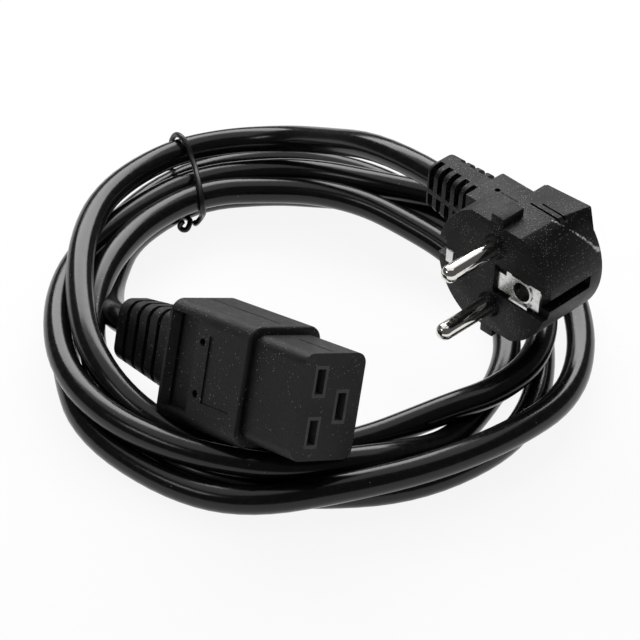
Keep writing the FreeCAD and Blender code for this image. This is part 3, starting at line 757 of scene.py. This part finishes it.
@dataclass
class WireTie:
    """The coated wire tie round the bundle, with its ends curled inside the loop."""

    flex: Flex
    radius: float = 0.8 * MM
    rounding: int = 4

    def route(self) -> list[Vector]:
        """List where the wire runs: a curled end, round the bundle, and the other end.

        Returns:
            The points, in metres.
        """
        at = self.flex.on_coil
        return [
            at(129.0, 63.4, 3.6), at(129.8, 64.3, 2.2), at(129.6, 63.2, 1.0),
            at(128.7, 61.9, 1.3), at(127.5, 62.2, 2.9), at(126.4, 63.8, 2.6),
            at(125.6, 66.0, 0.8), at(124.4, 71.0, 0.8), at(123.4, 76.5, 0.9),
            at(122.8, 80.6, 2.8), at(122.5, 82.0, 7.0), at(122.4, 82.2, 12.5),
            at(122.3, 81.8, 18.2), at(122.0, 79.8, 21.8), at(122.1, 76.0, 23.3),
            at(121.8, 72.8, 22.0), at(122.1, 70.2, 19.2), at(122.8, 66.6, 17.8),
            at(124.2, 62.8, 17.3), at(125.8, 58.8, 15.9), at(126.8, 56.4, 12.6),
            at(126.2, 57.0, 9.0), at(124.4, 60.2, 6.0), at(123.6, 62.4, 3.4),
            at(124.4, 63.4, 1.2), at(125.6, 62.9, 1.2), at(125.9, 62.0, 2.6)]

    def build(self) -> bpy.types.Object:
        """Make the wire as a mesh tube along a smooth spline.

        Returns:
            The tie.
        """
        made = tube("twist_wire", self.route(), self.radius, self.rounding)
        pick(made)
        bpy.ops.object.convert(target="MESH")
        bpy.ops.object.shade_smooth()
        return made


# ---- the plug -------------------------------------------------------------------
@dataclass
class PlugMoulding:
    """The plug's moulding: its disc runs straight back into its thumb grips.

    Sizes are millimetres in the plug's own axes: x out of the face, y away from the cord
    and z up.
    """

    # The disc: its radius, the height of its flats, its depth on the cord's side and at
    # the grips, and its rounded edge.
    radius: float = 18.9
    flat: float = 16.8
    disc: float = 11.5
    back: float = 22.4
    disc_edge: float = 0.35
    round_sides: int = 128
    # The blocks that cut the flats and the arm's room: their sizes along x, y and z.
    flat_cutter: Triple = (40.0, 60.0, 20.0)
    flat_cutter_x: float = -12.0
    arm_room: Triple = (20.0, 30.0, 60.0)
    # Each grip's inner side and rounded edge, and the upper grip's corners, underneath
    # and on top: front inner, front outer, back outer and back inner.
    grip_side: float = -3.2
    grip_edge: float = 0.5
    grip_under: tuple[Triple, ...] = (
        (-10.0, -3.13, 7.5), (-10.0, 8.0, 7.5), (-21.2, 17.0, 7.8), (-21.0, -3.13, 7.5))
    grip_top: tuple[Triple, ...] = (
        (-10.0, -3.13, 16.84), (-11.9, 8.7, 16.84), (-24.6, 11.2, 16.84), (-23.2, -3.13, 16.84))
    # The guide ribs: their sizes along x, y and z, how far they stand over the flats, how
    # far they stay off the face, so that no two faces coincide, and their rounded edge.
    ribs: Triple = (8.0, 4.3, 3.5)
    rib_lift: float = 0.75
    rib_gap: float = 0.06
    rib_edge: float = 0.3
    # The pins' collars: the radius at the face and at the tip, the height, and the root.
    pin_pitch: float = 19.0
    collar: Triple = (3.8, 2.9, 1.4)
    collar_root: float = -0.4
    # The earth bore: its distance from the middle, its radius and its depth, and how far
    # its cutter starts in front of the face.
    earth: Triple = (9.9, 3.3, 12.0)
    earth_start: float = 1.0
    # Recesses: middle, then length along x, width along y and height.
    recesses: tuple[tuple[Triple, Triple], ...] = (
        ((-13.4, 5.6, 17.3), (0.7, 11.6, 3.0)), ((-15.5, 6.4, 17.3), (0.6, 8.6, 3.0)),
        ((-8.3, 17.7, -0.1), (18.6, 3.6, 4.0)), ((-4.2, -17.7, 0.0), (10.6, 3.6, 5.0)),
        ((-0.5, 10.4, 0.0), (3.0, 19.0, 9.0)))
    # How far the arm runs into the disc and into the grips, and which of its points are
    # merged.
    arm_overlap: Pair = (0.4, 0.5)
    merge: float = 0.002
    # Degrees from which an edge is bevelled, and from which it is shaded as an edge.
    bevel_from: float = 60.0
    sharp_from: float = 32.0

    def solid(self, name: str) -> bpy.types.Object:
        """Name the primitive just added and lay it in the plug's place.

        Args:
            name: The new piece's name.

        Returns:
            The piece, with its place in its mesh.
        """
        made = bpy.context.object
        made.name = name
        bpy.ops.object.transform_apply(location=True, rotation=True, scale=True)
        made.matrix_world = PLUG_POSE.matrix()
        bpy.ops.object.transform_apply(location=True, rotation=True, scale=True)
        return made

    def block(self, name: str, middle: Triple, size: Triple) -> bpy.types.Object:
        """Add a block.

        Args:
            name: Its name.
            middle: Its middle.
            size: Its sizes along x, y and z.

        Returns:
            The block.
        """
        clear_selection()
        bpy.ops.mesh.primitive_cube_add(size=1.0, location=middle, scale=size)
        return self.solid(name)

    def rod(self, name: str, ends: Pair, radii: Pair, off: Pair) -> bpy.types.Object:
        """Add a round piece along x.

        Args:
            name: Its name.
            ends: Where it starts and ends along x.
            radii: Its radius at each end.
            off: Its axis in y and z.

        Returns:
            The piece.
        """
        clear_selection()
        bpy.ops.mesh.primitive_cone_add(
            vertices=self.round_sides, radius1=radii[0], radius2=radii[1],
            depth=ends[1] - ends[0], location=(sum(ends) / 2, *off),
            rotation=(0.0, math.radians(90), 0.0))
        return self.solid(name)

    @staticmethod
    def apply(piece: bpy.types.Object, kind: str, **values: object) -> None:
        """Add a modifier to a piece and apply it.

        Args:
            piece: The piece.
            kind: The modifier's type.
            **values: Its settings by name.
        """
        pick(piece)
        step = piece.modifiers.new("step", kind)
        for name, value in values.items():
            setattr(step, name, value)
        bpy.ops.object.modifier_apply(modifier=step.name)

    def join(self, piece: bpy.types.Object, tool: bpy.types.Object, way: str) -> None:
        """Join a tool to a piece, or cut it out, and drop the tool.

        Args:
            piece: The piece that is kept.
            tool: The other piece.
            way: The boolean's operation.
        """
        self.apply(piece, "BOOLEAN", operation=way, solver="EXACT", object=tool)
        bpy.data.objects.remove(tool)

    def body(self) -> bpy.types.Object:
        """Make the disc with its two flats, cut back on the cord's side behind the face.

        Returns:
            The disc.
        """
        made = self.rod("plug_moulding", (-self.back, 0.0), (self.radius, self.radius),
                        (0.0, 0.0))
        self.apply(made, "BEVEL", width=self.disc_edge * MM, segments=2,
                   limit_method="ANGLE", angle_limit=math.radians(self.bevel_from))
        for side in (-1, 1):
            height = side * (self.flat + self.flat_cutter[2] / 2)
            self.join(made, self.block("over", (self.flat_cutter_x, 0.0, height),
                                       self.flat_cutter), "DIFFERENCE")
        middle = (-self.disc - self.arm_room[0] / 2, self.grip_side - self.arm_room[1] / 2, 0.0)
        self.join(made, self.block("arm_room", middle, self.arm_room), "DIFFERENCE")
        return made

    def grip(self, side: int) -> bpy.types.Object:
        """Make a grip, a block with its flank leaning back to the disc.

        Args:
            side: 1 for the upper grip and -1 for the lower one.

        Returns:
            The grip.
        """
        made = self.block("grip", (0.0, 0.0, 0.0), (1.0, 1.0, 1.0))
        pose = PLUG_POSE.matrix()
        for corner in made.data.vertices:
            here = pose.inverted() @ corner.co
            ring = self.grip_top if here.z * side > 0 else self.grip_under
            inner, outer = (0, 1) if here.x > 0 else (3, 2)
            x, y, z = ring[inner if here.y < 0 else outer]
            corner.co = pose @ Vector((x, y, z * side))
        self.apply(made, "BEVEL", width=self.grip_edge * MM, segments=3)
        return made

    def sleeve(self) -> bpy.types.Object:
        """Make the arm and the ribbed sleeve, as the frame has them.

        Returns:
            The arm with its sleeve, closed where it runs into the disc.
        """
        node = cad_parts["plug_shell"]
        made = node.copy()
        made.data = node.data.copy()
        bpy.context.scene.collection.objects.link(made)
        pick(made)
        bpy.ops.object.mode_set(mode="EDIT")
        bpy.ops.mesh.select_all(action="SELECT")
        bpy.ops.mesh.customdata_custom_splitnormals_clear()
        bpy.ops.mesh.remove_doubles(threshold=self.merge * MM)
        into_disc, into_grip = self.arm_overlap
        for place, way in (((into_disc - self.disc, 0.0, 0.0), (1.0, 0.0, 0.0)),
                           ((0.0, self.grip_side + into_grip, 0.0), (0.0, 1.0, 0.0))):
            bpy.ops.mesh.select_all(action="SELECT")
            bpy.ops.mesh.bisect(plane_co=PLUG_POSE.point(*place), plane_no=PLUG_POSE.way(*way),
                                use_fill=True, clear_outer=True)
        bpy.ops.object.mode_set(mode="OBJECT")
        return made

    def build(self) -> bpy.types.Object:
        """Make the moulding.

        Returns:
            The moulding.
        """
        made = self.body()
        wide, narrow, high = self.collar
        for side in (-1, 1):
            self.join(made, self.grip(side), "UNION")
            rib = self.block("rib", (-self.ribs[0] / 2 - self.rib_gap, 0.0,
                                     side * (self.flat + self.rib_lift)), self.ribs)
            self.apply(rib, "BEVEL", width=self.rib_edge * MM, segments=2)
            self.join(made, rib, "UNION")
            self.join(made, self.rod("collar", (self.collar_root, high), (wide, narrow),
                                     (0.0, side * self.pin_pitch / 2)), "UNION")
        for middle, size in self.recesses:
            self.join(made, self.block("recess", middle, size), "DIFFERENCE")
        off, bore, deep = self.earth
        self.join(made, self.rod("bore", (-deep, self.earth_start), (bore, bore), (off, 0.0)),
                  "DIFFERENCE")
        pick(self.sleeve(), made)
        bpy.ops.object.join()
        bpy.ops.object.shade_smooth_by_angle(angle=math.radians(self.sharp_from))
        return made


@dataclass
class SideClip:
    """The steel clip that shows in the notch on the cord's side of the face."""

    middle: Triple = (-0.6, -14.6, -1.8)
    size: Triple = (1.6, 2.6, 4.3)
    edge: float = 0.3

    def build(self, moulding: PlugMoulding) -> bpy.types.Object:
        """Make the clip as a plate with rounded edges.

        Args:
            moulding: The moulding that it sits in.

        Returns:
            The clip.
        """
        made = moulding.block("side_clip", self.middle, self.size)
        moulding.apply(made, "BEVEL", width=self.edge * MM, segments=3)
        return made


# ---- dressing -------------------------------------------------------------------
class Dresser:
    """Gives finishes to CAD nodes and to new pieces."""

    def __init__(self, patterns: Patterns) -> None:
        """Keep the shared patterns and start an empty cupboard of materials."""
        self.patterns = patterns
        self.made: dict[str, bpy.types.Material] = {}

    def material(self, finish: Finish) -> bpy.types.Material:
        """Find the material of a finish, which is made once.

        Args:
            finish: The finish.

        Returns:
            Its material.
        """
        if finish.name not in self.made:
            self.made[finish.name] = finish.build(self.patterns)
        return self.made[finish.name]

    def dress_node(self, name: str, finish: Finish) -> None:
        """Give a finish to every material slot of a CAD node.

        Args:
            name: The node's name.
            finish: Its finish.
        """
        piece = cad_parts[name]
        for place in piece.material_slots:
            place.material = self.material(finish)
        if not piece.material_slots:
            piece.data.materials.append(self.material(finish))
        log.info("%s dressed as %s", name, finish.name)

    def dress_piece(self, piece: bpy.types.Object, finish: Finish) -> None:
        """Give a finish to a new piece and let it ride on the part.

        Args:
            piece: The piece.
            finish: Its finish.
        """
        piece.data.materials.clear()
        piece.data.materials.append(self.material(finish))
        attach(piece, "root")
        log.info("%s made, finish %s", piece.name, finish.name)


JACKET = Sheath("GlossyBlackSheath", Slot.JACKET, (0.004, 0.004, 0.005))
TIE_COAT = Sheath("CoatedTieWire", Slot.TIE, (0.014, 0.014, 0.015), roughness=0.34)
CONNECTOR_SKIN = Moulding("GrainedConnectorMoulding", Slot.CONNECTOR, (0.006, 0.006, 0.007))
# The plug's many pale specks are dust and painted glints of its grain.
PLUG_SKIN = Moulding("GrainedPlugMoulding", Slot.PLUG, (0.005, 0.005, 0.006), dust_and_glints=0.34,
                     speck_size=0.27, gloss=0.18,
                     scuffs=(Scuff((-12.1, 8.7, 16.8), (-16.4, 13.6, 13.1), 1.5, -0.1),
                             Scuff((-16.4, 13.6, 13.1), (-21.0, 17.1, 8.1), 1.6, 0.0),
                             Scuff((-20.6, 17.4, 8.6), (-21.6, 17.6, 7.6), 2.0, 0.25)))
CARRIER_SKIN = Moulding("CarrierMoulding", Slot.CARRIER, (0.05, 0.05, 0.05),
                        pale=(0.09, 0.09, 0.09), dust_and_glints=0.03)
BRASS = Metal("FoldedBrass", Slot.CONTACT, (0.75, 0.62, 0.35), roughness=0.25)
NICKEL = Metal("PolishedNickel", Slot.PIN, (0.8, 0.78, 0.74), roughness=0.08)
STEEL = Metal("StampedSteel", Slot.EARTH, (0.7, 0.7, 0.69), roughness=0.24, scratch=0.05,
              ripple=0.02)
BROWN = Sheath("BrownCore", Slot.BROWN, (0.2, 0.08, 0.03), rubbed=(0.26, 0.12, 0.05))
BLUE = Sheath("BlueCore", Slot.BLUE, (0.02, 0.12, 0.45), rubbed=(0.04, 0.16, 0.5))
GREEN = Sheath("GreenYellowCore", Slot.GREEN, (0.15, 0.4, 0.05), rubbed=(0.3, 0.5, 0.06))

NODE_FINISHES: dict[str, Finish] = {
    "connector_shell": CONNECTOR_SKIN, "contact_carrier": CARRIER_SKIN,
    "carrier_cover": CARRIER_SKIN, "line_contact": BRASS, "neutral_contact": BRASS,
    "earth_contact": BRASS, "line_core": BROWN, "neutral_core": BLUE, "earth_core": GREEN,
    "connector_lead": JACKET, "cord_coil": JACKET, "plug_lead": JACKET,
    "twist_tie": TIE_COAT, "plug_shell": PLUG_SKIN, "plug_bridge": CARRIER_SKIN,
    "line_pin": NICKEL, "neutral_pin": NICKEL, "earth_socket": STEEL, "earth_strap": STEEL,
    "plug_line_core": BROWN, "plug_neutral_core": BLUE, "plug_earth_core": GREEN,
}


# ---- the studio -----------------------------------------------------------------
@dataclass(frozen=True)
class Lamp:
    """A rectangular lamp that faces the part.

    It hangs a number of degrees round and up, so many metres away. Its width and height
    are in metres too, and its power is in watts.
    """

    name: str
    turn: float
    up: float
    away: float
    width: float
    height: float
    power: float


@dataclass
class Studio:
    """The floor, lamps, sky and camera."""

    ground: float = -34.0 * MM
    floor_size: float = 6.0
    floor_colour: Triple = (0.9, 0.9, 0.9)
    floor_roughness: float = 0.7
    floor_gloss: float = 0.2
    floor_white: float = 0.9
    sky_colour: Triple = (0.8, 0.8, 0.8)
    sky_strength: float = 0.12
    lens: float = 146.25
    sensor: float = 36.0
    nearest: float = 0.01
    camera_place: Triple = (0.3534, -0.3355, 0.4224)
    camera_turn: Triple = (51.0, 0.0, 46.74)
    target: Triple = (-0.03, 0.03, -0.015)
    lamps: tuple[Lamp, ...] = (
        Lamp("back_window", 137.0, 38.0, 0.9, 1.1, 0.45, 9.5),
        Lamp("overhead", 140.0, 76.0, 1.0, 1.4, 1.0, 4.2),
        Lamp("left_strip", -110.0, 40.0, 0.9, 0.3, 0.1, 0.5))

    def floor(self) -> bpy.types.Object:
        """Lay the pale floor, which the camera and mirrored rays see nearly white.

        Returns:
            The floor.
        """
        clear_selection()
        bpy.ops.mesh.primitive_plane_add(size=self.floor_size,
                                         location=(0.0, 0.0, self.ground))
        made = bpy.context.object
        made.name = "floor"
        material = bpy.data.materials.new("PaleFloor")
        material.use_nodes = True
        tree = material.node_tree
        shader = tree.nodes["Principled BSDF"]
        shader.inputs["Base Color"].default_value = (*self.floor_colour, 1.0)
        shader.inputs["Roughness"].default_value = self.floor_roughness
        shader.inputs["Specular IOR Level"].default_value = self.floor_gloss
        glow = add_node(tree, "ShaderNodeEmission")
        glow.inputs["Strength"].default_value = 1.0
        path = add_node(tree, "ShaderNodeLightPath")
        mirrored = maths(tree, "ADD", path.outputs["Is Glossy Ray"],
                         path.outputs["Is Transmission Ray"], clamp=True)
        seen = maths(tree, "ADD", path.outputs["Is Camera Ray"], mirrored, clamp=True)
        mix_to_output(tree, maths(tree, "MULTIPLY", seen, self.floor_white), shader, glow,
                      "Material Output")
        made.data.materials.append(material)
        return made

    def hang(self, lamp: Lamp) -> None:
        """Hang a lamp, facing the part.

        Args:
            lamp: The lamp.
        """
        azimuth, rise = math.radians(lamp.turn), math.radians(lamp.up)
        way = Vector((math.cos(azimuth) * math.cos(rise),
                      math.sin(azimuth) * math.cos(rise), math.sin(rise)))
        data = bpy.data.lights.new(lamp.name, "AREA")
        data.shape = "RECTANGLE"
        data.size = lamp.width
        data.size_y = lamp.height
        data.energy = lamp.power
        made = bpy.data.objects.new(lamp.name, data)
        made.location = Vector(self.target) + way * lamp.away
        made.rotation_euler = (-way).to_track_quat("-Z", "Y").to_euler()
        bpy.context.scene.collection.objects.link(made)
        log.info("%s lamp hung", lamp.name)

    def sky(self) -> None:
        """Set the sky, which is dim for the part and white for the camera."""
        made = bpy.data.worlds.new("StudioSky")
        made.use_nodes = True
        tree = made.node_tree
        dim = tree.nodes["Background"]
        dim.inputs["Color"].default_value = (*self.sky_colour, 1.0)
        dim.inputs["Strength"].default_value = self.sky_strength
        white = add_node(tree, "ShaderNodeBackground")
        white.inputs["Color"].default_value = (1.0, 1.0, 1.0, 1.0)
        path = add_node(tree, "ShaderNodeLightPath")
        mix_to_output(tree, path.outputs["Is Camera Ray"], dim, white, "World Output")
        bpy.context.scene.world = made

    def camera(self) -> None:
        """Set up the camera."""
        data = bpy.data.cameras.new("view")
        data.lens = self.lens
        data.sensor_width = self.sensor
        data.clip_start = self.nearest
        made = bpy.data.objects.new("view", data)
        made.location = self.camera_place
        made.rotation_euler = Euler([math.radians(part) for part in self.camera_turn])
        bpy.context.scene.collection.objects.link(made)
        bpy.context.scene.camera = made

    def build(self) -> None:
        """Set up everything round the part."""
        self.floor()
        for lamp in self.lamps:
            self.hang(lamp)
        self.sky()
        self.camera()
        bpy.context.scene.view_settings.view_transform = "Standard"


def main() -> None:
    """Build the looks of the cord set round its frame."""
    logging.basicConfig(level=logging.INFO, format="%(name)s: %(message)s")
    Studio().build()
    dresser = Dresser(Patterns())
    for name, finish in NODE_FINISHES.items():
        dresser.dress_node(name, finish)
    flex = Flex()
    cord = flex.build()
    dresser.dress_piece(cord, JACKET)
    tie = WireTie(flex).build()
    dresser.dress_piece(tie, TIE_COAT)
    moulding = PlugMoulding()
    shell = moulding.build()
    dresser.dress_piece(shell, PLUG_SKIN)
    clip = SideClip().build(moulding)
    dresser.dress_piece(clip, STEEL)
    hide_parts("plug_shell")
    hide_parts("connector_lead", "cord_coil", "plug_lead")
    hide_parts("twist_tie")


if __name__ == "__main__":
    main()
